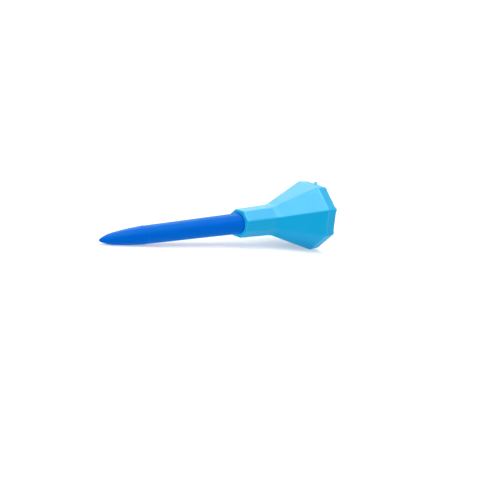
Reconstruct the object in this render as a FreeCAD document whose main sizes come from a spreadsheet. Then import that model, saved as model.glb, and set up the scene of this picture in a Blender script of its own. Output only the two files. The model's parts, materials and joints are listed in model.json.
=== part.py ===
import FreeCAD, Part
import math
import os
import Sketcher
from FreeCAD import Placement, Rotation, Vector

# Moulded golf tee lying on the ground. A hard shank is moulded first: a rounded point, a
# slightly drafted stem and a flared head with the cup in it. A soft crown is moulded over the
# head: an octagonal collar, a flared skirt, a band and a rim with eight small nubs that carry
# the ball. Both pieces are drawn upright on their own Z axis, with the point at zero, and their
# placements then lay them down until point and crown both touch the ground. Millimetres.

EDGE_SEARCH = 0.01

SIZES = (
    # Shank, measured along the axis from the point
    ("nose_radius", "0.5", "blunt end of the point"),
    ("taper_place", "5.0", "from the end of the point to where its long gentle curve begins"),
    ("taper_radius", "1.72", "point where the long curve begins"),
    ("point_length", "15.2", "from the end of the point to the parting bead"),
    ("point_radius", "2.57", "point where it meets the parting bead"),
    ("point_fullness", "0.5", "slope at the bead, as a share of the long curve's mean slope"),
    ("bead_height", "0.08", "parting bead above the stem, where the mould's two halves meet"),
    ("bead_width", "0.7", "parting bead along the axis"),
    ("stem_radius", "2.54", "stem just past the parting bead"),
    ("entry_radius", "2.96", "stem where it enters the collar, larger by the mould's draft"),
    ("core_draft", "0.09", "how much larger still the stem is at the foot of the head"),
    ("lock_place", "3.2", "from the collar's end to the locking groove"),
    ("lock_width", "2.0", "locking groove along the axis"),
    ("lock_depth", "0.45", "locking groove into the stem"),
    ("head_wall", "1.25", "head beyond the edge of the bowl"),
    ("head_height", "5.0", "straight side of the head"),
    # Cup, in the shank's head
    ("cup_edge_depth", "1.65", "edge of the bowl under the rim"),
    ("cup_floor_depth", "5.1", "where the bowl meets the cored hole, under the rim"),
    ("cored_radius", "1.475", "cored hole in the middle of the bowl"),
    ("cored_depth", "12.0", "cored hole below the bowl"),
    ("cored_end_round", "0.6", "rounding at the bottom of the cored hole"),
    # Crown, measured along the axis
    ("facet_count", "8", "flat sides, each with a nub at its corner"),
    ("rim_place", "81.76", "from the end of the point to the flat rim"),
    ("band_height", "3.51", "band, from the shoulder to the rim"),
    ("skirt_length", "14.75", "skirt, from the collar to the shoulder"),
    ("collar_length", "12.2", "collar, from its end face to the skirt"),
    ("collar_land", "0.43", "collar's end face, from the low ring to its flat side"),
    ("collar_draft", "0.25", "how much further out the collar's flat side is at the skirt"),
    ("shoulder_width", "18.54", "widest part of the crown, across the flat sides"),
    ("rim_inset", "0.3", "flat side of the rim inside the shoulder"),
    ("skirt_blend", "8.0", "hollow curve between collar and skirt"),
    ("facet_round", "0.4", "rounding along the facets' edges"),
    ("collar_round", "0.25", "rounding round the collar's end face"),
    ("seal_wall", "0.46", "low ring on the collar's end face, round the stem"),
    ("seal_height", "0.18", "low ring above the collar's end face"),
    ("mouth_chamfer", "0.15", "relief where the stem leaves the low ring"),
    # Lip of the crown, from the flat rim in to the bowl
    ("rim_land", "1.47", "flat rim, from its flat side in to the lip"),
    ("lip_slope", "0.57", "sloping part of the lip, towards the axis"),
    ("ledge_depth", "0.59", "outer edge of the ledge under the rim"),
    ("ledge_width", "0.99", "ledge, towards the axis"),
    ("step_depth", "0.89", "inner edge of the ledge under the rim"),
    ("step_slope", "0.1", "small step, towards the axis"),
    ("step_foot_depth", "1.19", "foot of the small step under the rim"),
    ("lip_toe", "0.29", "from the foot of the step to the edge of the bowl"),
    ("lip_end_depth", "1.32", "inner edge of the lip under the rim"),
    # Nubs
    ("nub_inset", "1.1", "middle of a nub inside the rim's corner"),
    ("nub_radius", "0.84", "nub at its foot"),
    ("nub_height", "0.79", "nub above the rim"),
    ("nub_wall", "0.12", "straight side of a nub"),
    ("nub_root", "0.5", "nub below the rim, inside the crown"),
    ("blank_margin", "2.0", "what the facet cuts take off around the crown's blank"),
    # Stub of the moulding gate, on the middle of the band's upper flat side
    ("gate_width", "1.0", "gate stub along the flat side"),
    ("gate_thickness", "0.8", "gate stub along the axis"),
    ("gate_reach", "0.8", "gate stub beyond the rim's flat side"),
    ("gate_gap", "0.1", "from the rim to the gate stub"),
    ("gate_root", "0.5", "gate stub inside the band"),
    ("gate_end_radius", "0.6", "rounded end of the gate stub"),
)

# Sizes that follow from the ones above. A spreadsheet angle is in degrees.
DERIVED = (
    # The point is three arcs, each leaving the last one in its own direction
    ("point_slope", "atan((point_radius - taper_radius) / (point_length - taper_place))"),
    ("point_lean", "point_fullness * point_slope"),
    ("point_arc", "hypot(point_radius - taper_radius; point_length - taper_place)"
     " / (2 * sin(point_slope - point_lean))"),
    ("taper_lean", "2 * point_slope - point_lean"),
    ("nose_reach", "taper_place - nose_radius"),
    ("taper_arc", "(taper_radius^2 + nose_reach^2 - nose_radius^2)"
     " / (2 * (taper_radius * cos(taper_lean) - nose_reach * sin(taper_lean) - nose_radius))"),
    ("nose_end_radius", "nose_radius * (taper_arc * cos(taper_lean) - taper_radius)"
     " / (taper_arc - nose_radius)"),
    ("nose_end_height", "nose_radius * (1 - (nose_reach + taper_arc * sin(taper_lean))"
     " / (taper_arc - nose_radius))"),
    ("shoulder_start", "rim_place - band_height"),
    ("flare_start", "shoulder_start - skirt_length"),
    ("collar_start", "flare_start - collar_length"),
    ("shoulder_flat", "shoulder_width / 2"),
    ("rim_flat", "shoulder_flat - rim_inset"),
    ("lip_radius", "rim_flat - rim_land"),
    ("ledge_radius", "lip_radius - lip_slope"),
    ("step_radius", "ledge_radius - ledge_width"),
    ("step_foot_radius", "step_radius - step_slope"),
    ("cup_edge_radius", "step_foot_radius - lip_toe"),
    ("head_radius", "cup_edge_radius + head_wall"),
    ("nub_circle", "rim_flat / cos(180deg / facet_count) - nub_inset"),
    ("head_top", "rim_place - cup_edge_depth"),
    ("head_foot", "head_top - head_height"),
    ("cup_floor", "rim_place - cup_floor_depth"),
    ("cored_end", "cup_floor - cored_depth"),
    ("cup_centre", "((cup_edge_radius^2 - cored_radius^2) / (head_top - cup_floor)"
     " + head_top + cup_floor) / 2"),
    ("cup_arc", "sqrt(cored_radius^2 + (cup_centre - cup_floor)^2)"),
    ("core_radius", "entry_radius + core_draft"),
    ("lock_start", "collar_start + lock_place"),
    ("lock_radius", "entry_radius - lock_depth"),
    ("seal_radius", "entry_radius + seal_wall"),
    ("seal_end", "collar_start - seal_height"),
    ("collar_start_flat", "seal_radius + collar_land"),
    ("collar_flat", "collar_start_flat + collar_draft"),
    ("blank_radius", "(shoulder_flat + blank_margin) / cos(180deg / facet_count)"),
    ("collar_angle", "atan((collar_flat - collar_start_flat) / (flare_start - collar_start))"),
    ("skirt_angle", "atan((shoulder_flat - collar_flat) / (shoulder_start - flare_start))"),
    ("blend_reach", "skirt_blend * tan((skirt_angle - collar_angle) / 2)"),
    ("blend_low_height", "flare_start - blend_reach * cos(collar_angle)"),
    ("blend_low_flat", "collar_flat - blend_reach * sin(collar_angle)"),
    ("blend_high_height", "flare_start + blend_reach * cos(skirt_angle)"),
    ("blend_high_flat", "collar_flat + blend_reach * sin(skirt_angle)"),
    ("nub_rise", "nub_height - nub_wall"),
    ("nub_arc", "(nub_radius^2 + nub_rise^2) / (2 * nub_rise)"),
    ("nub_top", "rim_place + nub_height"),
    ("gate_place", "rim_place - gate_gap - gate_thickness"),
    ("gate_end_rise", "gate_end_radius - sqrt(gate_end_radius^2 - gate_width^2 / 4)"),
    # The ground touches the arc of the point and the crown's lowest shoulder edge
    ("rest_side", "shoulder_flat + point_arc * cos(point_lean) - point_radius"),
    ("rest_run", "shoulder_start - point_length - point_arc * sin(point_lean)"),
    ("rest_tilt", "atan(rest_side / rest_run) - asin(point_arc / hypot(rest_side; rest_run))"),
    ("tip_height", "shoulder_flat * cos(rest_tilt) - shoulder_start * sin(rest_tilt)"),
    ("back_reach", "nose_radius * cos(rest_tilt) - nose_radius"),
    ("front_reach", "(nub_top - nub_arc) * cos(rest_tilt)"
     " + nub_circle * cos(180deg / facet_count) * sin(rest_tilt) + nub_arc"),
    ("tip_offset", "-(back_reach + front_reach) / 2"),
)


def fill_sheet(doc):
    sheet = doc.addObject("Spreadsheet::Sheet", "sizes")
    row = 0
    for alias, value, note in SIZES:
        row += 1
        sheet.set(f"A{row}", note)
        sheet.set(f"B{row}", value)
        sheet.setAlias(f"B{row}", alias)
    doc.recompute()
    for alias, formula in DERIVED:
        row += 1
        sheet.set(f"A{row}", "follows from the sizes above")
        sheet.set(f"B{row}", "=" + formula)
        sheet.setAlias(f"B{row}", alias)
        doc.recompute()
    return sheet


def number(sheet, formula):
    value = sheet.evalExpression(formula)
    return float(getattr(value, "Value", value))


def bind(target, path, formula, aliases):
    """Bind a property or constraint to a formula written with the sheet's aliases."""
    words = []
    word = ""
    for letter in formula + " ":
        if letter.isalnum() or letter == "_":
            word += letter
            continue
        words.append("sizes." + word if word in aliases else word)
        words.append(letter)
        word = ""
    target.setExpression(path, "".join(words).strip())


def new_sketch(body, name, role):
    plane = [item for item in body.Origin.OriginFeatures if item.Role == role][0]
    sketch = body.newObject("Sketcher::SketchObject", name)
    sketch.AttachmentSupport = [(plane, "")]
    sketch.MapMode = "FlatFace"
    return sketch


def arc_between(start, end, radius, left):
    """Arc from start to end with its centre on the left or right of the way between them."""
    chord = end - start
    half = chord.Length / 2
    side = Vector(-chord.y, chord.x, 0).normalize()
    if not left:
        side = side * -1
    centre = (start + end) * 0.5 + side * math.sqrt(max(radius**2 - half**2, 0))
    middle = centre + ((start + end) * 0.5 - centre).normalize() * radius
    return Part.Arc(start, middle, end)


def draw_outline(sheet, sketch, corners, arcs):
    """Closed outline. A corner is a pair of formulas: distance from the axis and height.

    arcs gives, for the side that leaves a corner, the radius' formula and where its centre is.
    Every other side is straight. A corner at distance "0" lies on the axis itself."""
    aliases = {alias for alias, *_ in SIZES} | {alias for alias, _ in DERIVED}
    points = [Vector(number(sheet, far), number(sheet, up), 0) for far, up in corners]
    count = len(points)
    starts = []
    ends = []
    for index, point in enumerate(points):
        following = points[(index + 1) % count]
        if index in arcs:
            formula, left = arcs[index]
            curve = arc_between(point, following, number(sheet, formula), left)
            added = sketch.addGeometry(curve, False)
            # A sketch keeps arcs anticlockwise, so an arc drawn the other way swaps its ends
            swapped = (sketch.getPoint(added, 1) - point).Length > 1e-6
            starts.append((added, 2 if swapped else 1))
            ends.append((added, 1 if swapped else 2))
        else:
            added = sketch.addGeometry(Part.LineSegment(point, following), False)
            starts.append((added, 1))
            ends.append((added, 2))
    for index in range(count):
        sketch.addConstraint(Sketcher.Constraint("Coincident", *ends[index - 1], *starts[index]))
    for index, (far, up) in enumerate(corners):
        if far == "0":
            sketch.addConstraint(Sketcher.Constraint("PointOnObject", *starts[index], -2))
        else:
            place = sketch.addConstraint(
                Sketcher.Constraint("DistanceX", -1, 1, *starts[index], points[index].x))
            bind(sketch, f"Constraints[{place}]", far, aliases)
        if up == "0":
            sketch.addConstraint(Sketcher.Constraint("PointOnObject", *starts[index], -1))
        else:
            place = sketch.addConstraint(
                Sketcher.Constraint("DistanceY", -1, 1, *starts[index], points[index].y))
            bind(sketch, f"Constraints[{place}]", up, aliases)
    for index, (formula, _) in arcs.items():
        place = sketch.addConstraint(
            Sketcher.Constraint("Radius", starts[index][0], number(sheet, formula)))
        bind(sketch, f"Constraints[{place}]", formula, aliases)
    return sketch


def turned(body, kind, name, sketch):
    feature = body.newObject(kind, name)
    feature.Profile = sketch
    feature.ReferenceAxis = (sketch, ["V_Axis"])
    feature.Angle = 360
    return feature


def make_shank(doc, sheet):
    body = doc.addObject("PartDesign::Body", "shank")
    body.Label = "shank"
    outside = (
        ("0", "0"),
        ("nose_end_radius", "nose_end_height"),
        ("taper_radius", "taper_place"),
        ("point_radius", "point_length"),
        ("stem_radius + bead_height", "point_length + bead_width / 2"),
        ("stem_radius", "point_length + bead_width"),
        ("entry_radius", "seal_end"),
        ("entry_radius", "lock_start"),
        ("lock_radius", "lock_start"),
        ("lock_radius", "lock_start + lock_width"),
        ("entry_radius", "lock_start + lock_width"),
        ("core_radius", "flare_start"),
        ("head_radius", "head_foot"),
        ("head_radius", "head_top"),
        ("0", "head_top"),
    )
    arcs = {
        0: ("nose_radius", True),
        1: ("taper_arc", True),
        2: ("point_arc", True),
    }
    sketch = new_sketch(body, "shank_outline", "XZ_Plane")
    draw_outline(sheet, sketch, outside, arcs)
    turned(body, "PartDesign::Revolution", "shank_turned", sketch)
    doc.recompute()
    solid_volume = body.Shape.Volume

    cup = (
        ("0", "cored_end"),
        ("cored_radius - cored_end_round", "cored_end"),
        ("cored_radius", "cored_end + cored_end_round"),
        ("cored_radius", "cup_floor"),
        ("cup_edge_radius", "head_top"),
        ("0", "head_top"),
    )
    sketch = new_sketch(body, "cup_outline", "XZ_Plane")
    draw_outline(sheet, sketch, cup, {1: ("cored_end_round", True), 3: ("cup_arc", True)})
    turned(body, "PartDesign::Groove", "cup_cut", sketch)
    doc.recompute()
    print("cup takes", round(solid_volume - body.Shape.Volume, 1), "mm3 from the shank")
    return body


def make_crown(doc, sheet):
    body = doc.addObject("PartDesign::Body", "crown")
    body.Label = "crown"

    # Plain round blank, which the facet cuts turn into the octagon
    blank = (
        ("0", "seal_end"),
        ("seal_radius", "seal_end"),
        ("seal_radius", "collar_start"),
        ("blank_radius", "collar_start"),
        ("blank_radius", "rim_place"),
        ("0", "rim_place"),
    )
    sketch = new_sketch(body, "blank_outline", "XZ_Plane")
    draw_outline(sheet, sketch, blank, {})
    turned(body, "PartDesign::Revolution", "crown_blank", sketch)
    doc.recompute()

    # One flat side of collar, skirt and band, cut right across the blank, then the others
    flank = (
        ("collar_start_flat", "collar_start - blank_margin"),
        ("collar_start_flat", "collar_start"),
        ("blend_low_flat", "blend_low_height"),
        ("blend_high_flat", "blend_high_height"),
        ("shoulder_flat", "shoulder_start"),
        ("rim_flat", "rim_place"),
        ("rim_flat", "rim_place + blank_margin"),
        ("blank_radius + blank_margin", "rim_place + blank_margin"),
        ("blank_radius + blank_margin", "collar_start - blank_margin"),
    )
    sketch = new_sketch(body, "facet_outline", "XZ_Plane")
    draw_outline(sheet, sketch, flank, {2: ("skirt_blend", False)})
    facet = body.newObject("PartDesign::Pocket", "facet_cut")
    facet.Profile = sketch
    facet.SideType = "Symmetric"
    facet.Type = "Length"
    facet.setExpression("Length", "2 * (sizes.blank_radius + sizes.blank_margin)")
    doc.recompute()
    around(doc, body, "facet_pattern", facet)

    # Soft corners: first along the facets, round the shoulder and the rim, then the collar's end
    base = body.Tip
    collar_end = number(sheet, "collar_start")
    names = outer_edges(base.Shape, lambda middle: middle.z > collar_end + EDGE_SEARCH)
    rounded(doc, body, "facet_rounding", base, names, "facet_round")
    base = body.Tip
    seal_edge = number(sheet, "seal_radius") + EDGE_SEARCH
    names = outer_edges(
        base.Shape,
        lambda middle: abs(middle.z - collar_end) < EDGE_SEARCH
        and math.hypot(middle.x, middle.y) > seal_edge)
    rounded(doc, body, "collar_rounding", base, names, "collar_round")

    # One nub on the corner between two facets, rooted in the rim, then the others
    nub = (
        ("0", "rim_place - nub_root"),
        ("nub_radius", "rim_place - nub_root"),
        ("nub_radius", "rim_place + nub_wall"),
        ("0", "nub_top"),
    )
    sketch = new_sketch(body, "nub_outline", "XZ_Plane")
    draw_outline(sheet, sketch, nub, {2: ("nub_arc", True)})
    sketch.setExpression("AttachmentOffset.Base.x", "sizes.nub_circle * cos(180deg / sizes.facet_count)")
    sketch.setExpression("AttachmentOffset.Base.z", "sizes.nub_circle * sin(180deg / sizes.facet_count)")
    nub_turned = turned(body, "PartDesign::Revolution", "nub_turned", sketch)
    doc.recompute()
    around(doc, body, "nub_pattern", nub_turned)

    # Stub left where the gate was trimmed, on the flat side that faces up when the tee lies down
    gate = (
        ("rim_flat - gate_root", "-gate_width / 2"),
        ("rim_flat + gate_reach - gate_end_rise", "-gate_width / 2"),
        ("rim_flat + gate_reach - gate_end_rise", "gate_width / 2"),
        ("rim_flat - gate_root", "gate_width / 2"),
    )
    sketch = new_sketch(body, "gate_outline", "XY_Plane")
    draw_outline(sheet, sketch, gate, {1: ("gate_end_radius", True)})
    sketch.AttachmentOffset = Placement(Vector(), Rotation(Vector(0, 0, 1), 180))
    sketch.setExpression("AttachmentOffset.Base.z", "sizes.gate_place")
    stub = body.newObject("PartDesign::Pad", "gate_stub")
    stub.Profile = sketch
    stub.setExpression("Length", "sizes.gate_thickness")
    doc.recompute()
    solid_volume = body.Shape.Volume

    # Room for the shank, and the stepped lip above it
    bore = (
        ("0", "seal_end - blank_margin"),
        ("entry_radius + mouth_chamfer", "seal_end - blank_margin"),
        ("entry_radius + mouth_chamfer", "seal_end"),
        ("entry_radius", "seal_end + mouth_chamfer"),
        ("entry_radius", "lock_start"),
        ("lock_radius", "lock_start"),
        ("lock_radius", "lock_start + lock_width"),
        ("entry_radius", "lock_start + lock_width"),
        ("core_radius", "flare_start"),
        ("head_radius", "head_foot"),
        ("head_radius", "head_top"),
        ("cup_edge_radius", "head_top"),
        ("cup_edge_radius", "rim_place - lip_end_depth"),
        ("step_foot_radius", "rim_place - step_foot_depth"),
        ("step_radius", "rim_place - step_depth"),
        ("ledge_radius", "rim_place - ledge_depth"),
        ("lip_radius", "rim_place"),
        ("lip_radius", "nub_top + blank_margin"),
        ("0", "nub_top + blank_margin"),
    )
    sketch = new_sketch(body, "bore_outline", "XZ_Plane")
    draw_outline(sheet, sketch, bore, {})
    turned(body, "PartDesign::Groove", "bore_cut", sketch)
    doc.recompute()
    print("bore takes", round(solid_volume - body.Shape.Volume, 1), "mm3 from the crown")
    return body


def outer_edges(shape, wanted):
    names = []
    for index, edge in enumerate(shape.Edges, start=1):
        middle = edge.valueAt((edge.FirstParameter + edge.LastParameter) / 2)
        if wanted(middle):
            names.append(f"Edge{index}")
    return names


def rounded(doc, body, name, base, names, formula):
    fillet = body.newObject("PartDesign::Fillet", name)
    fillet.Base = (base, names)
    fillet.setExpression("Radius", "sizes." + formula)
    doc.recompute()
    print(name, len(names), "edges", fillet.State, fillet.Shape.isValid())


def around(doc, body, name, feature):
    axis = [item for item in body.Origin.OriginFeatures if item.Role == "Z_Axis"][0]
    pattern = body.newObject("PartDesign::PolarPattern", name)
    pattern.Originals = [feature]
    pattern.Axis = (axis, [""])
    pattern.Angle = 360
    pattern.setExpression("Occurrences", "sizes.facet_count")
    body.Tip = pattern
    doc.recompute()
    return pattern


def lay_down(body):
    """Turn the upright piece about Y until it rests, and centre it on the origin."""
    body.Placement = Placement(Vector(), Rotation(Vector(0, 1, 0), 90))
    body.setExpression("Placement.Rotation.Angle", "90deg - sizes.rest_tilt")
    body.setExpression("Placement.Base.x", "sizes.tip_offset")
    body.setExpression("Placement.Base.z", "sizes.tip_height")


def main():
    doc = FreeCAD.newDocument("golf_tee")
    sheet = fill_sheet(doc)
    bodies = [make_shank(doc, sheet), make_crown(doc, sheet)]
    for body in bodies:
        lay_down(body)
    doc.recompute()
    for item in doc.Objects:
        if "Invalid" in item.State or "Error" in item.State:
            raise RuntimeError(f"{item.Label} failed: {item.State}")
    for body in bodies:
        if body.Shape.isNull() or not body.Shape.isValid() or len(body.Shape.Solids) != 1:
            raise RuntimeError(f"{body.Label} isn't one valid solid")
    os.makedirs("parts", exist_ok=True)
    for body in bodies:
        body.Shape.exportStep(f"parts/{body.Label}.step")
        print(body.Label, round(body.Shape.Volume, 1), "mm3", body.Shape.BoundBox)
    print("rest tilt", round(number(sheet, "rest_tilt"), 3), "degrees")


main()
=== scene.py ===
import json
import math

import bmesh
import bpy
from mathutils import Matrix, Vector


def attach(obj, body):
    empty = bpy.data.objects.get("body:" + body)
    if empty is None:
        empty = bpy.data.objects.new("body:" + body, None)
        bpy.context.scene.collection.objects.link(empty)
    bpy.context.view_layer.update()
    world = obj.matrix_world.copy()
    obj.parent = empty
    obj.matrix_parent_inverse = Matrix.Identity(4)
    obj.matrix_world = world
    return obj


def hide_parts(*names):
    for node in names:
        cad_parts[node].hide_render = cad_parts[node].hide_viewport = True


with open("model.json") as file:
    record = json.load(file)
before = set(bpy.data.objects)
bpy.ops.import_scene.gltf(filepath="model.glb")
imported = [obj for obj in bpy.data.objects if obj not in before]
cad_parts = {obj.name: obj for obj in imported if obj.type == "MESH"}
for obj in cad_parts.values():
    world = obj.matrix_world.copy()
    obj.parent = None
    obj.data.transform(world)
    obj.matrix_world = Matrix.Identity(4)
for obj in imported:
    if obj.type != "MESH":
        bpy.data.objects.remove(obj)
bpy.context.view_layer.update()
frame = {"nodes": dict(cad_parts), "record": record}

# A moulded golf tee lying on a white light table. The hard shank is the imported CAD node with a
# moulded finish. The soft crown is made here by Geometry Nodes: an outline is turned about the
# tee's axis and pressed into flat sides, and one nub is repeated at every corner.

mm = 0.001

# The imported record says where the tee's own axis starts and ends as it lies on the table
mounts = {mount["name"]: mount for mount in frame["record"]["mounts"]}
pointEnd = Vector(mounts["turf_point"]["pos_m"])
ballSeat = Vector(mounts["ball_seat"]["pos_m"])
upright = Vector((0, 0, 1))
teeTurn = upright.rotation_difference(ballSeat - pointEnd)
layDown = Matrix.Translation(pointEnd) @ teeTurn.to_matrix().to_4x4()


def linearColour(hexCode):
    channels = [int(hexCode[place:place + 2], 16) / 255 for place in (1, 3, 5)]
    linear = [c / 12.92 if c <= 0.04045 else ((c + 0.055) / 1.055) ** 2.4 for c in channels]
    return (*linear, 1.0)


# Adds a node with its settings. An input is either a value or a socket to link from.
def addNode(tree, kind, settings, inputs):
    node = tree.nodes.new(kind)
    for name, value in settings.items():
        setattr(node, name, value)
    for socket, value in inputs.items():
        if isinstance(value, bpy.types.NodeSocket):
            tree.links.new(value, node.inputs[socket])
        else:
            node.inputs[socket].default_value = value
    return node


# Materials

def newMaterial(name):
    material = bpy.data.materials.new(name)
    material.use_nodes = True
    material.node_tree.nodes.clear()
    return material


patchRange = (0.3, 0.7)        # the part of a noise's values that its patches really span

elastomer = {
    "colour": "#00A3D6",
    "shade": "#009CCF",        # slightly deeper patches where the pigment flowed
    "edge": "#38C4EC",         # painted highlight: paler along edges and corners, where the roundings catch the light
    # painted glow: nubs and gate stub paler, as if light scattered through them
    "nub": "#80DAFA",
    "edgeShare": 0.3,
    "paintedNubGlowShare": 0.85,
    "roughness": (0.40, 0.48), # from the shiniest patches to the dullest
    "specular": 0.2,
    "specularTint": "#A4DEFF",
    "scatter": 0.12,
    "scatterDepth": 0.5,       # mm
    "scatterColours": (0.4, 0.9, 1.0),
    "grain": 0.22,             # mm, spark-eroded mould grain, drawn about twice as coarse as real
    "grainDepth": 0.010,       # mm
    "patch": 7.0,              # mm
}


# Thermoplastic elastomer, moulded over the shank: a soft satin skin with the mould's fine grain,
# a little light inside it, a painted highlight along its edges and a painted pale glow on its nubs
def elastomerMaterial():
    given = elastomer
    material = newMaterial("overmouldedElastomer")
    tree = material.node_tree
    place = addNode(tree, "ShaderNodeTexCoord", {}, {}).outputs["Object"]
    patches = addNode(tree, "ShaderNodeTexNoise", {}, {
        "Vector": place, "Scale": 1 / (given["patch"] * mm), "Detail": 2.0})
    colour = addNode(tree, "ShaderNodeMix", {"data_type": "RGBA"}, {
        0: patches.outputs["Fac"], 6: linearColour(given["colour"]), 7: linearColour(given["shade"])})
    # mixes in the painted edge highlight and the painted glow on the nubs and the gate stub
    for attribute, share in (("edge", given["edgeShare"]), ("nub", given["paintedNubGlowShare"])):
        near = addNode(tree, "ShaderNodeAttribute", {"attribute_name": attribute}, {})
        amount = addNode(tree, "ShaderNodeMath", {"operation": "MULTIPLY"}, {
            0: near.outputs["Fac"], 1: share})
        colour = addNode(tree, "ShaderNodeMix", {"data_type": "RGBA"}, {
            0: amount.outputs[0], 6: colour.outputs[2], 7: linearColour(given[attribute])})
    shiny, dull = given["roughness"]
    roughness = addNode(tree, "ShaderNodeMapRange", {}, {
        "Value": patches.outputs["Fac"], "From Min": patchRange[0], "From Max": patchRange[1],
        "To Min": shiny, "To Max": dull})
    grain = addNode(tree, "ShaderNodeTexNoise", {}, {
        "Vector": place, "Scale": 1 / (given["grain"] * mm), "Detail": 3.0, "Roughness": 0.6})
    bump = addNode(tree, "ShaderNodeBump", {}, {
        "Strength": 1.0, "Distance": given["grainDepth"] * mm, "Height": grain.outputs["Fac"]})
    shader = addNode(tree, "ShaderNodeBsdfPrincipled", {}, {
        "Base Color": colour.outputs[2], "Roughness": roughness.outputs[0], "IOR": 1.5,
        "Specular IOR Level": given["specular"], "Specular Tint": linearColour(given["specularTint"]),
        "Subsurface Weight": given["scatter"], "Subsurface Radius": given["scatterColours"],
        "Subsurface Scale": given["scatterDepth"] * mm, "Normal": bump.outputs[0]})
    addNode(tree, "ShaderNodeOutputMaterial", {}, {"Surface": shader.outputs[0]})
    return material


polypropylene = {
    "colour": "#0061CC",
    "shade": "#005CC4",
    "roughness": (0.34, 0.42),
    "specular": 0.02,
    "specularTint": "#38C4FF",
    "sheen": 0.7,              # the waxy bloom that lightens it where it turns away
    "sheenTint": "#00CCFF",
    "scatter": 0.05,
    "scatterDepth": 0.5,       # mm
    "scatterColours": (0.3, 0.6, 1.0),
    "drawLine": 0.35,          # mm round the stem, left when the piece slid out of its mould
    "drawLength": 14.0,        # mm
    "drawDepth": 0.006,        # mm
    "patch": 5.0,              # mm
}


# Polypropylene, injection moulded: hard and waxy, one solid colour, a low satin gloss broken by
# very fine lines along the stem
def polypropyleneMaterial():
    given = polypropylene
    material = newMaterial("mouldedPolypropylene")
    tree = material.node_tree
    place = addNode(tree, "ShaderNodeTexCoord", {}, {}).outputs["Object"]
    along = addNode(tree, "ShaderNodeMapping", {"vector_type": "TEXTURE"}, {
        "Vector": place, "Rotation": teeTurn.to_euler(),
        "Scale": (given["drawLine"] * mm, given["drawLine"] * mm, given["drawLength"] * mm)})
    lines = addNode(tree, "ShaderNodeTexNoise", {}, {
        "Vector": along.outputs[0], "Scale": 1.0, "Detail": 2.0})
    patches = addNode(tree, "ShaderNodeTexNoise", {}, {
        "Vector": place, "Scale": 1 / (given["patch"] * mm), "Detail": 3.0})
    colour = addNode(tree, "ShaderNodeMix", {"data_type": "RGBA"}, {
        0: patches.outputs["Fac"], 6: linearColour(given["colour"]), 7: linearColour(given["shade"])})
    shiny, dull = given["roughness"]
    roughness = addNode(tree, "ShaderNodeMapRange", {}, {
        "Value": patches.outputs["Fac"], "From Min": patchRange[0], "From Max": patchRange[1],
        "To Min": shiny, "To Max": dull})
    bump = addNode(tree, "ShaderNodeBump", {}, {
        "Strength": 1.0, "Distance": given["drawDepth"] * mm, "Height": lines.outputs["Fac"]})
    shader = addNode(tree, "ShaderNodeBsdfPrincipled", {}, {
        "Base Color": colour.outputs[2], "Roughness": roughness.outputs[0], "IOR": 1.49,
        "Specular IOR Level": given["specular"], "Specular Tint": linearColour(given["specularTint"]),
        "Sheen Weight": given["sheen"], "Sheen Roughness": 0.4,
        "Sheen Tint": linearColour(given["sheenTint"]),
        "Subsurface Weight": given["scatter"], "Subsurface Radius": given["scatterColours"],
        "Subsurface Scale": given["scatterDepth"] * mm, "Normal": bump.outputs[0]})
    addNode(tree, "ShaderNodeOutputMaterial", {}, {"Surface": shader.outputs[0]})
    return material


opal = {
    "colour": "#CFCFCF",
    "glow": 0.38,              # light that comes up through it
    "roughness": 0.85,
    "specular": 0.2,
    "frosting": 0.6,           # mm
    "frostingDepth": 0.015,    # mm
}


# Opal acrylic light table, lit from below: white, matt, and nearly free of shadows
def opalMaterial():
    material = newMaterial("opalLightTable")
    tree = material.node_tree
    place = addNode(tree, "ShaderNodeTexCoord", {}, {}).outputs["Object"]
    frosting = addNode(tree, "ShaderNodeTexNoise", {}, {
        "Vector": place, "Scale": 1 / (opal["frosting"] * mm), "Detail": 2.0})
    bump = addNode(tree, "ShaderNodeBump", {}, {
        "Strength": 1.0, "Distance": opal["frostingDepth"] * mm, "Height": frosting.outputs["Fac"]})
    shader = addNode(tree, "ShaderNodeBsdfPrincipled", {}, {
        "Base Color": linearColour(opal["colour"]), "Roughness": opal["roughness"],
        "Specular IOR Level": opal["specular"],
        "Emission Color": linearColour("#FFFFFF"), "Emission Strength": opal["glow"],
        "Normal": bump.outputs[0]})
    addNode(tree, "ShaderNodeOutputMaterial", {}, {"Surface": shader.outputs[0]})
    return material


# Outlines that are turned about the axis. A corner is its distance from the axis, its height
# above the end of the point, its rounding, all in millimetres, and its roundness: 0 where the
# section has flat sides and 1 where it is a circle.

outlineDetail = {
    "arcStep": math.radians(9),   # turn from one point of a rounding to the next
    "hold": 0.12,                 # mm from a rounding to the extra point that keeps a side flat
    "thinEdge": 2.0,              # mm, smaller roundings count as edges and carry the painted highlight
}


# Points along the outline, each with its roundness and 1 on an edge, for the painted highlight, or 0
# beside it
def roundedOutline(corners):
    points = []
    for index, (distance, height, rounding, roundness) in enumerate(corners):
        here = Vector((distance, height))
        if rounding == 0:
            points.append((distance, height, roundness, 0))
            continue
        before = Vector(corners[index - 1][:2])
        after = Vector(corners[(index + 1) % len(corners)][:2])
        back = (before - here).normalized()
        ahead = (after - here).normalized()
        turn = math.pi - back.angle(ahead)
        reach = rounding * math.tan(turn / 2)
        hold = min(outlineDetail["hold"], ((before - here).length - reach) / 3,
                   ((after - here).length - reach) / 3)
        centre = here + (back + ahead).normalized() * (rounding / math.cos(turn / 2))
        spoke = here + back * reach - centre
        spin = math.copysign(turn, spoke.x * ahead.y - spoke.y * ahead.x)
        steps = max(2, math.ceil(turn / outlineDetail["arcStep"]))
        # roundings smaller than thinEdge get the painted edge highlight
        paintedLightMark = 1 if rounding < outlineDetail["thinEdge"] else 0
        bend = [(here + back * (reach + hold), 0)]
        for step in range(steps + 1):
            bend.append((centre + Matrix.Rotation(spin * step / steps, 2) @ spoke, paintedLightMark))
        bend.append((here + ahead * (reach + hold), 0))
        points.extend((place.x, place.y, roundness, edge) for place, edge in bend)
    return points


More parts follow.
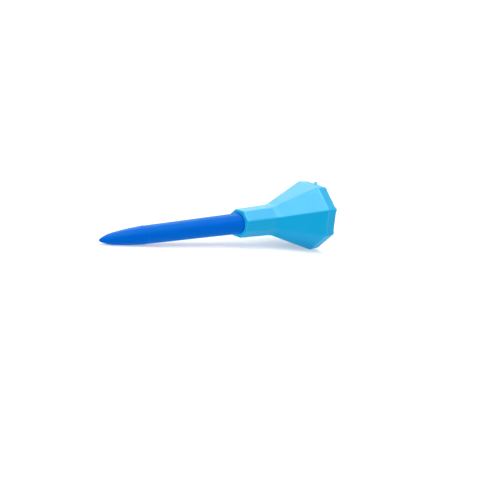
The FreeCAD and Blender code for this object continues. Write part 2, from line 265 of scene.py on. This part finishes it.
# An outline as a mesh of points only, upright about Z
def outlineObject(name, points):
    mesh = bpy.data.meshes.new(name)
    mesh.from_pydata([(point[0] * mm, 0, point[1] * mm) for point in points], [], [])
    for attribute, column in (("roundness", 2), ("edge", 3)):
        values = mesh.attributes.new(attribute, "FLOAT", "POINT")
        values.data.foreach_set("value", [point[column] for point in points])
    made = bpy.data.objects.new(name, mesh)
    bpy.context.scene.collection.objects.link(made)
    return made


# The group that turns an outline about Z. Each column of a grid is one direction round the axis
# and each row is one point of the outline. A sum is its name, a Math operation and its operands,
# which are numbers or the names of sockets and of sums above it.
turningSums = (
    ("rows", "ADD", "points", "closed"),
    ("rowSpan", "SUBTRACT", "rows", 1),
    ("columnSpan", "MULTIPLY", "facets", "perFacet"),
    ("columns", "ADD", "columnSpan", 1),
    ("halfColumns", "MULTIPLY", "columnSpan", 0.5),
    ("columnPlace", "ADD", "gridX", "halfColumns"),
    ("column", "ROUND", "columnPlace"),
    ("halfRows", "MULTIPLY", "rowSpan", 0.5),
    ("rowPlace", "ADD", "gridY", "halfRows"),
    ("rowCounted", "ROUND", "rowPlace"),
    ("row", "FLOORED_MODULO", "rowCounted", "points"),
    # across one facet, from -1 to 1 with its corner at 0, where the columns crowd together
    ("facetPlace", "DIVIDE", "column", "perFacet"),
    ("facet", "FLOOR", "facetPlace"),
    ("within", "FRACT", "facetPlace"),
    ("across", "MULTIPLY_ADD", "within", 2.0, -1.0),
    ("side", "SIGN", "across"),
    ("away", "ABSOLUTE", "across"),
    ("crowded", "POWER", "away", "crowding"),
    ("halfFacet", "DIVIDE", math.pi, "facets"),
    ("offCorner", "MULTIPLY", "crowded", "halfFacet"),
    ("signed", "MULTIPLY", "offCorner", "side"),
    ("facetMiddle", "MULTIPLY_ADD", "facet", 2.0, 1.0),
    ("cornerAngle", "MULTIPLY", "facetMiddle", "halfFacet"),
    ("angle", "ADD", "cornerAngle", "signed"),
    # how far the rounding of a corner reaches round the axis
    ("halfCos", "COSINE", "halfFacet"),
    ("halfSin", "SINE", "halfFacet"),
    ("inner", "SUBTRACT", "flat", "round"),
    ("centre", "DIVIDE", "inner", "halfCos"),
    ("roundSin", "MULTIPLY", "round", "halfSin"),
    ("roundCos", "MULTIPLY_ADD", "round", "halfCos", "centre"),
    ("roundEnd", "ARCTAN2", "roundSin", "roundCos"),
    # distance from the axis, on a corner's rounding and on a flat side
    ("offSin", "SINE", "offCorner"),
    ("offCos", "COSINE", "offCorner"),
    ("centreSin", "MULTIPLY", "centre", "offSin"),
    ("centreSinSquare", "MULTIPLY", "centreSin", "centreSin"),
    ("roundSquare", "MULTIPLY", "round", "round"),
    ("underRoot", "SUBTRACT", "roundSquare", "centreSinSquare"),
    ("notNegative", "MAXIMUM", "underRoot", 0.0),
    ("root", "SQRT", "notNegative"),
    ("onCorner", "MULTIPLY_ADD", "centre", "offCos", "root"),
    ("toFlat", "SUBTRACT", "halfFacet", "offCorner"),
    ("toFlatCos", "COSINE", "toFlat"),
    ("onFlat", "DIVIDE", "flat", "toFlatCos"),
    ("inCorner", "LESS_THAN", "offCorner", "roundEnd"),
    ("cornerPart", "MULTIPLY", "inCorner", "onCorner"),
    ("notCorner", "SUBTRACT", 1.0, "inCorner"),
    ("faceted", "MULTIPLY_ADD", "notCorner", "onFlat", "cornerPart"),
    ("toCircle", "SUBTRACT", "flat", "faceted"),
    ("radius", "MULTIPLY_ADD", "toCircle", "roundness", "faceted"),
    ("cosine", "COSINE", "angle"),
    ("sine", "SINE", "angle"),
    ("x", "MULTIPLY", "radius", "cosine"),
    ("y", "MULTIPLY", "radius", "sine"),
    # 1 on a corner or on a rounding of the outline, falling to 0 beside it: where the highlight is painted
    ("edgeAngle", "MULTIPLY", "roundEnd", 1.2),
    ("edgeShare", "DIVIDE", "offCorner", "edgeAngle"),
    ("edgeFall", "SUBTRACT", 1.0, "edgeShare"),
    ("cornerEdge", "MAXIMUM", "edgeFall", 0.0),
    ("hasCorner", "SUBTRACT", 1.0, "roundness"),
    ("facetEdge", "MULTIPLY", "cornerEdge", "hasCorner"),
    ("fainterEdge", "MULTIPLY", "facetEdge", 0.5),
    ("edge", "MAXIMUM", "fainterEdge", "outlineEdge"),
)


def turnedShapeTree():
    tree = bpy.data.node_groups.new("turnedShape", "GeometryNodeTree")
    for name, kind in (
            ("Outline", "NodeSocketGeometry"),
            ("Closed", "NodeSocketInt"),
            ("Facets", "NodeSocketInt"),
            ("Columns per Facet", "NodeSocketInt"),
            ("Crowding", "NodeSocketFloat"),
            ("Corner Round", "NodeSocketFloat")):
        tree.interface.new_socket(name=name, in_out="INPUT", socket_type=kind)
    tree.interface.new_socket(name="Geometry", in_out="OUTPUT", socket_type="NodeSocketGeometry")
    given = addNode(tree, "NodeGroupInput", {}, {}).outputs
    size = addNode(tree, "GeometryNodeAttributeDomainSize", {"component": "MESH"},
                   {"Geometry": given["Outline"]})
    grid = addNode(tree, "GeometryNodeMeshGrid", {}, {})
    place = addNode(tree, "GeometryNodeInputPosition", {}, {})
    onGrid = addNode(tree, "ShaderNodeSeparateXYZ", {}, {"Vector": place.outputs[0]})
    spot = addNode(tree, "GeometryNodeSampleIndex", {"data_type": "FLOAT_VECTOR"}, {
        "Geometry": given["Outline"], "Value": place.outputs[0]})
    onOutline = addNode(tree, "ShaderNodeSeparateXYZ", {}, {"Vector": spot.outputs["Value"]})
    sampled = {}
    for attribute in ("roundness", "edge"):
        stored = addNode(tree, "GeometryNodeInputNamedAttribute", {"data_type": "FLOAT"},
                         {"Name": attribute})
        sampled[attribute] = addNode(tree, "GeometryNodeSampleIndex", {"data_type": "FLOAT"}, {
            "Geometry": given["Outline"], "Value": stored.outputs["Attribute"]})
    sums = {
        "points": size.outputs["Point Count"],
        "closed": given["Closed"],
        "facets": given["Facets"],
        "perFacet": given["Columns per Facet"],
        "crowding": given["Crowding"],
        "round": given["Corner Round"],
        "gridX": onGrid.outputs["X"],
        "gridY": onGrid.outputs["Y"],
        "flat": onOutline.outputs["X"],
        "roundness": sampled["roundness"].outputs["Value"],
        "outlineEdge": sampled["edge"].outputs["Value"],
    }
    for name, operation, *operands in turningSums:
        values = {socket: sums.get(operand, operand) for socket, operand in enumerate(operands)}
        sums[name] = addNode(tree, "ShaderNodeMath", {"operation": operation}, values).outputs[0]
    for name, node, socket in (
            ("columnSpan", grid, "Size X"), ("rowSpan", grid, "Size Y"),
            ("columns", grid, "Vertices X"), ("rows", grid, "Vertices Y"),
            ("row", spot, "Index"), ("row", sampled["roundness"], "Index"),
            ("row", sampled["edge"], "Index")):
        tree.links.new(sums[name], node.inputs[socket])
    position = addNode(tree, "ShaderNodeCombineXYZ", {}, {
        "X": sums["x"], "Y": sums["y"], "Z": onOutline.outputs["Z"]})
    # stores the mask of the painted edge highlight
    marked = addNode(tree, "GeometryNodeStoreNamedAttribute", {"data_type": "FLOAT"}, {
        "Geometry": grid.outputs["Mesh"], "Name": "edge", "Value": sums["edge"]})
    moved = addNode(tree, "GeometryNodeSetPosition", {}, {
        "Geometry": marked.outputs[0], "Position": position.outputs[0]})
    joined = addNode(tree, "GeometryNodeMergeByDistance", {}, {
        "Geometry": moved.outputs[0], "Distance": 0.001 * mm})
    addNode(tree, "NodeGroupOutput", {}, {"Geometry": joined.outputs[0]})
    return tree


# Crown

# Millimetres. A pair is the distance from the axis, to a flat side where there are flat sides,
# and the height above the end of the point.
crownSizes = {
    "stem": 2.96,
    "mouth": 0.15,                 # relief round the stem
    "ring": (3.42, 51.12),
    "collar": (3.85, 51.3),
    "flare": (4.1, 63.5),
    "shoulder": (9.27, 78.25),
    "rim": (8.97, 81.76),
    "lip": 7.5,
    "ledge": (6.93, 0.59),         # from here to the lip's end, mm under the rim instead
    "step": (5.94, 0.89),
    "stepFoot": (5.84, 1.19),
    "lipEnd": (5.55, 1.32),
    "head": (6.8, 80.11, 75.11),   # room for the shank's head: radius, top and foot
    "core": 3.05,
    "lock": (2.51, 54.5, 56.5),    # rib in the shank's locking groove: radius, start and end
    "facets": 8,
    "cornerRound": 0.8,
    "columnsPerFacet": 28,
    "columnCrowding": 2.3,         # above 1 the columns gather at the corners
}

# Millimetres, from the mouth round the outside and down the lip
crownRoundings = {
    "mouth": 0.05,
    "ring": 0.12,
    "ringFoot": 0.05,
    "collar": 0.3,
    "flare": 8.0,
    "shoulder": 0.9,
    "rim": 0.45,
    "lip": 0.25,
    "ledge": 0.22,
    "step": 0.07,
    "stepFoot": 0.07,
    "lipEnd": 0.08,
}

nubSizes = {
    "circle": 8.609,
    "radius": 0.84,
    "height": 0.79,
    "wall": 0.12,
    "foot": 0.14,                  # hollow rounding where the nub leaves the rim
    "footSteps": 3,
    "domeSteps": 8,
    "columnsPerFacet": 4,
}

# Stub of the trimmed gate, painted with the same pale glow of scattered light as a nub. A ring is its
# millimetres beyond the flat side and its size as a share of the stub's, from inside the band to the torn
# end.
gateSizes = {
    "width": 1.0,
    "thickness": 0.8,
    "gap": 0.1,                    # from the rim's plane
    "rings": ((-0.5, 1.3), (0.0, 1.22), (0.08, 1.08), (0.2, 1.0), (0.55, 0.94), (0.72, 0.8),
              (0.8, 0.5)),
    "sides": 20,
    "squareness": 3.0,             # 2 is an ellipse, and more is squarer
}


def crownOutline():
    sizes = crownSizes
    rounding = crownRoundings
    rim = sizes["rim"][1]
    ring, ringEnd = sizes["ring"]
    head, headTop, headFoot = sizes["head"]
    lock, lockStart, lockEnd = sizes["lock"]
    ledge, step, stepFoot, lipEnd = (
        (sizes[name][0], rim - sizes[name][1]) for name in ("ledge", "step", "stepFoot", "lipEnd"))
    return roundedOutline((
        (sizes["stem"] + sizes["mouth"], ringEnd, rounding["mouth"], 1),
        (ring, ringEnd, rounding["ring"], 1),
        (ring, sizes["collar"][1], rounding["ringFoot"], 1),
        (*sizes["collar"], rounding["collar"], 0),
        (*sizes["flare"], rounding["flare"], 0),
        (*sizes["shoulder"], rounding["shoulder"], 0),
        (*sizes["rim"], rounding["rim"], 0),
        (sizes["lip"], rim, rounding["lip"], 1),
        (*ledge, rounding["ledge"], 1),
        (*step, rounding["step"], 1),
        (*stepFoot, rounding["stepFoot"], 1),
        (*lipEnd, rounding["lipEnd"], 1),
        (lipEnd[0], headTop, 0, 1),
        (head, headTop, 0, 1),
        (head, headFoot, 0, 1),
        (sizes["core"], sizes["flare"][1], 0, 1),
        (sizes["stem"], lockEnd, 0, 1),
        (lock, lockEnd, 0, 1),
        (lock, lockStart, 0, 1),
        (sizes["stem"], lockStart, 0, 1),
        (sizes["stem"], ringEnd + sizes["mouth"], 0, 1),
    ))


def nubOutline():
    sizes = nubSizes
    rim = crownSizes["rim"][1]
    radius, foot = sizes["radius"], sizes["foot"]
    rise = sizes["height"] - sizes["wall"]
    dome = (radius ** 2 + rise ** 2) / (2 * rise)
    domeTurn = math.atan2(radius, dome - rise)
    top = rim + sizes["height"]
    points = [(0, rim - 2 * foot), (radius + foot, rim - 2 * foot)]
    for step in range(sizes["footSteps"] + 1):
        angle = math.pi / 2 * step / sizes["footSteps"]
        points.append((radius + foot - foot * math.sin(angle), rim + foot * (1 - math.cos(angle))))
    for step in range(1, sizes["domeSteps"] + 1):
        angle = domeTurn * (1 - step / sizes["domeSteps"])
        points.append((dome * math.sin(angle), top - dome + dome * math.cos(angle)))
    return [(distance, height, 1, 0) for distance, height in points]


def crownTree():
    tree = bpy.data.node_groups.new("softCrown", "GeometryNodeTree")
    for name, kind in (
            ("Outline", "NodeSocketGeometry"),
            ("Nub Outline", "NodeSocketObject"),
            ("Facets", "NodeSocketInt"),
            ("Columns per Facet", "NodeSocketInt"),
            ("Crowding", "NodeSocketFloat"),
            ("Corner Round", "NodeSocketFloat"),
            ("Nub Circle", "NodeSocketFloat"),
            ("Nub Columns", "NodeSocketInt"),
            ("Material", "NodeSocketMaterial")):
        tree.interface.new_socket(name=name, in_out="INPUT", socket_type=kind)
    tree.interface.new_socket(name="Geometry", in_out="OUTPUT", socket_type="NodeSocketGeometry")
    given = addNode(tree, "NodeGroupInput", {}, {}).outputs
    turnedShape = turnedShapeTree()
    body = addNode(tree, "GeometryNodeGroup", {"node_tree": turnedShape}, {
        "Outline": given["Outline"], "Closed": 1, "Facets": given["Facets"],
        "Columns per Facet": given["Columns per Facet"], "Crowding": given["Crowding"],
        "Corner Round": given["Corner Round"]})
    nubSource = addNode(tree, "GeometryNodeObjectInfo", {"transform_space": "ORIGINAL"},
                        {"Object": given["Nub Outline"]})
    nub = addNode(tree, "GeometryNodeGroup", {"node_tree": turnedShape}, {
        "Outline": nubSource.outputs["Geometry"], "Closed": 0, "Facets": given["Facets"],
        "Columns per Facet": given["Nub Columns"], "Crowding": 1.0,
        "Corner Round": given["Corner Round"]})
    # marks the nubs for their painted glow of light scattered through them
    marked = addNode(tree, "GeometryNodeStoreNamedAttribute", {"data_type": "FLOAT"}, {
        "Geometry": nub.outputs[0], "Name": "nub", "Value": 1.0})
    circle = addNode(tree, "GeometryNodeMeshCircle", {}, {
        "Vertices": given["Facets"], "Radius": given["Nub Circle"]})
    halfFacet = addNode(tree, "ShaderNodeMath", {"operation": "DIVIDE"}, {
        0: math.pi, 1: given["Facets"]})
    turn = addNode(tree, "ShaderNodeCombineXYZ", {}, {"Z": halfFacet.outputs[0]})
    corners = addNode(tree, "GeometryNodeTransform", {}, {
        "Geometry": circle.outputs[0], "Rotation": turn.outputs[0]})
    nubs = addNode(tree, "GeometryNodeInstanceOnPoints", {}, {
        "Points": corners.outputs[0], "Instance": marked.outputs[0]})
    both = addNode(tree, "GeometryNodeJoinGeometry", {}, {"Geometry": body.outputs[0]})
    tree.links.new(nubs.outputs[0], both.inputs["Geometry"])
    real = addNode(tree, "GeometryNodeRealizeInstances", {}, {"Geometry": both.outputs[0]})
    smooth = addNode(tree, "GeometryNodeSetShadeSmooth", {}, {"Geometry": real.outputs[0]})
    finished = addNode(tree, "GeometryNodeSetMaterial", {}, {
        "Geometry": smooth.outputs[0], "Material": given["Material"]})
    addNode(tree, "NodeGroupOutput", {}, {"Geometry": finished.outputs[0]})
    return tree


def addGateStub(shell, materialIndex):
    sizes = gateSizes
    flat, rim = crownSizes["rim"]
    middle = rim - sizes["gap"] - sizes["thickness"] / 2
    # the stub gets the nubs' painted glow
    paintedLightMark = shell.verts.layers.float["nub"]
    rings = []
    for reach, share in sizes["rings"]:
        ring = []
        for side in range(sizes["sides"]):
            angle = 2 * math.pi * side / sizes["sides"]
            cosine, sine = math.cos(angle), math.sin(angle)
            across = math.copysign(abs(cosine) ** (2 / sizes["squareness"]), cosine)
            along = math.copysign(abs(sine) ** (2 / sizes["squareness"]), sine)
            point = shell.verts.new((
                -(flat + reach) * mm,
                across * share * sizes["width"] / 2 * mm,
                (middle + along * share * sizes["thickness"] / 2) * mm))
            point[paintedLightMark] = 1.0
            ring.append(point)
        rings.append(ring)
    faces = [shell.faces.new(rings[0]), shell.faces.new(rings[-1])]
    for low, high in zip(rings, rings[1:]):
        for side in range(sizes["sides"]):
            faces.append(shell.faces.new((low[side - 1], low[side], high[side], high[side - 1])))
    for face in faces:
        face.smooth = True
        face.material_index = materialIndex


def makeCrown():
    made = outlineObject("softCrown", crownOutline())
    nub = outlineObject("nubOutline", nubOutline())
    tree = crownTree()
    modifier = made.modifiers.new("softCrown", "NODES")
    modifier.node_group = tree
    values = {
        "Nub Outline": nub,
        "Facets": crownSizes["facets"],
        "Columns per Facet": crownSizes["columnsPerFacet"],
        "Crowding": crownSizes["columnCrowding"],
        "Corner Round": crownSizes["cornerRound"] * mm,
        "Nub Circle": nubSizes["circle"] * mm,
        "Nub Columns": nubSizes["columnsPerFacet"],
        "Material": elastomerMaterial(),
    }
    for socket in tree.interface.items_tree:
        if socket.name in values:
            modifier[socket.identifier] = values[socket.name]
    bpy.context.view_layer.update()
    evaluated = made.evaluated_get(bpy.context.evaluated_depsgraph_get())
    mesh = bpy.data.meshes.new_from_object(evaluated)
    made.modifiers.remove(modifier)
    made.data = mesh
    bpy.data.objects.remove(nub)
    shell = bmesh.new()
    shell.from_mesh(mesh)
    addGateStub(shell, mesh.polygons[0].material_index)
    bmesh.ops.recalc_face_normals(shell, faces=shell.faces)
    shell.to_mesh(mesh)
    shell.free()
    mesh.transform(layDown)
    return made


# Studio

studio = {
    "tableHalf": 8.0,                     # metres, the light table's half width
    "azimuth": 46.91,                     # degrees the camera looks from +Y towards +X
    "elevation": 10.03,                   # degrees it looks down
    "roll": 10.9,
    "distance": 0.6723,                   # metres
    "aim": (0.01408, -0.0027, -0.00592),  # metres from the middle of the tee's axis
    "lens": 172.4,
    "sensor": 36.0,
    "walls": (0.12, 0.7),                 # strength behind the camera and on the far side
    # Suns stand for large softboxes: strength, width in degrees, where the light comes from as
    # azimuth and elevation, and whether it lights surfaces, shines on them and casts shadows
    "softboxes": {
        "overhead": (0.8, 60.0, 162.0, 77.0, True, True, True),
        "tableFill": (1.2, 60.0, 162.0, 77.0, True, False, False),
        "frontFill": (1.4, 60.0, 250.0, 34.0, True, False, False),
        "topGloss": (13.5, 50.0, 156.0, 64.0, False, True, True),
        "backGloss": (3.0, 44.0, 34.0, 44.0, False, True, True),
    },
}


def makeStudio():
    half = studio["tableHalf"]
    mesh = bpy.data.meshes.new("floor")
    mesh.from_pydata([(-half, -half, 0), (half, -half, 0), (half, half, 0), (-half, half, 0)],
                     [], [(0, 1, 2, 3)])
    mesh.materials.append(opalMaterial())
    floor = bpy.data.objects.new("floor", mesh)
    bpy.context.scene.collection.objects.link(floor)

    world = bpy.data.worlds.new("studio")
    world.use_nodes = True
    tree = world.node_tree
    tree.nodes.clear()
    lookAzimuth = math.radians(studio["azimuth"])
    behindCamera, farSide = studio["walls"]
    direction = addNode(tree, "ShaderNodeTexCoord", {}, {})
    towardsFar = addNode(tree, "ShaderNodeVectorMath", {"operation": "DOT_PRODUCT"}, {
        0: direction.outputs["Generated"], 1: (math.sin(lookAzimuth), math.cos(lookAzimuth), 0)})
    strength = addNode(tree, "ShaderNodeMapRange", {"interpolation_type": "SMOOTHSTEP"}, {
        "Value": towardsFar.outputs["Value"], "From Min": -0.6, "From Max": 0.8,
        "To Min": behindCamera, "To Max": farSide})
    background = addNode(tree, "ShaderNodeBackground", {}, {
        "Color": linearColour("#FFFFFF"), "Strength": strength.outputs[0]})
    addNode(tree, "ShaderNodeOutputWorld", {}, {"Surface": background.outputs[0]})
    bpy.context.scene.world = world

    for name, (strength, width, azimuth, elevation, lights, shines, shades) in studio["softboxes"].items():
        lamp = bpy.data.lights.new(name, "SUN")
        lamp.energy = strength
        lamp.angle = math.radians(width)
        lamp.use_shadow = shades
        softbox = bpy.data.objects.new(name, lamp)
        softbox.visible_diffuse = lights
        softbox.visible_glossy = shines
        softbox.rotation_euler = (0, math.radians(90 - elevation), math.radians(90 - azimuth))
        bpy.context.scene.collection.objects.link(softbox)

    camera = bpy.data.cameras.new("camera")
    camera.lens = studio["lens"]
    camera.sensor_width = studio["sensor"]
    camera.clip_start = 0.01
    camera.clip_end = 100
    viewer = bpy.data.objects.new("camera", camera)
    viewer.matrix_world = (
        Matrix.Translation((pointEnd + ballSeat) / 2 + Vector(studio["aim"]))
        @ Matrix.Rotation(-math.radians(studio["azimuth"]), 4, "Z")
        @ Matrix.Rotation(math.radians(90 - studio["elevation"]), 4, "X")
        @ Matrix.Rotation(math.radians(studio["roll"]), 4, "Z")
        @ Matrix.Translation((0, 0, studio["distance"])))
    bpy.context.scene.collection.objects.link(viewer)
    bpy.context.scene.camera = viewer
    bpy.context.scene.view_settings.view_transform = "Standard"   # shows the plastics' own colours


crown = makeCrown()
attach(crown, "root")
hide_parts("crown")
print("crown moulded:", len(crown.data.polygons), "faces")

shank = frame["nodes"]["shank"]
shank.material_slots[0].material = polypropyleneMaterial()
print("shank finished")

makeStudio()
print("studio lit")
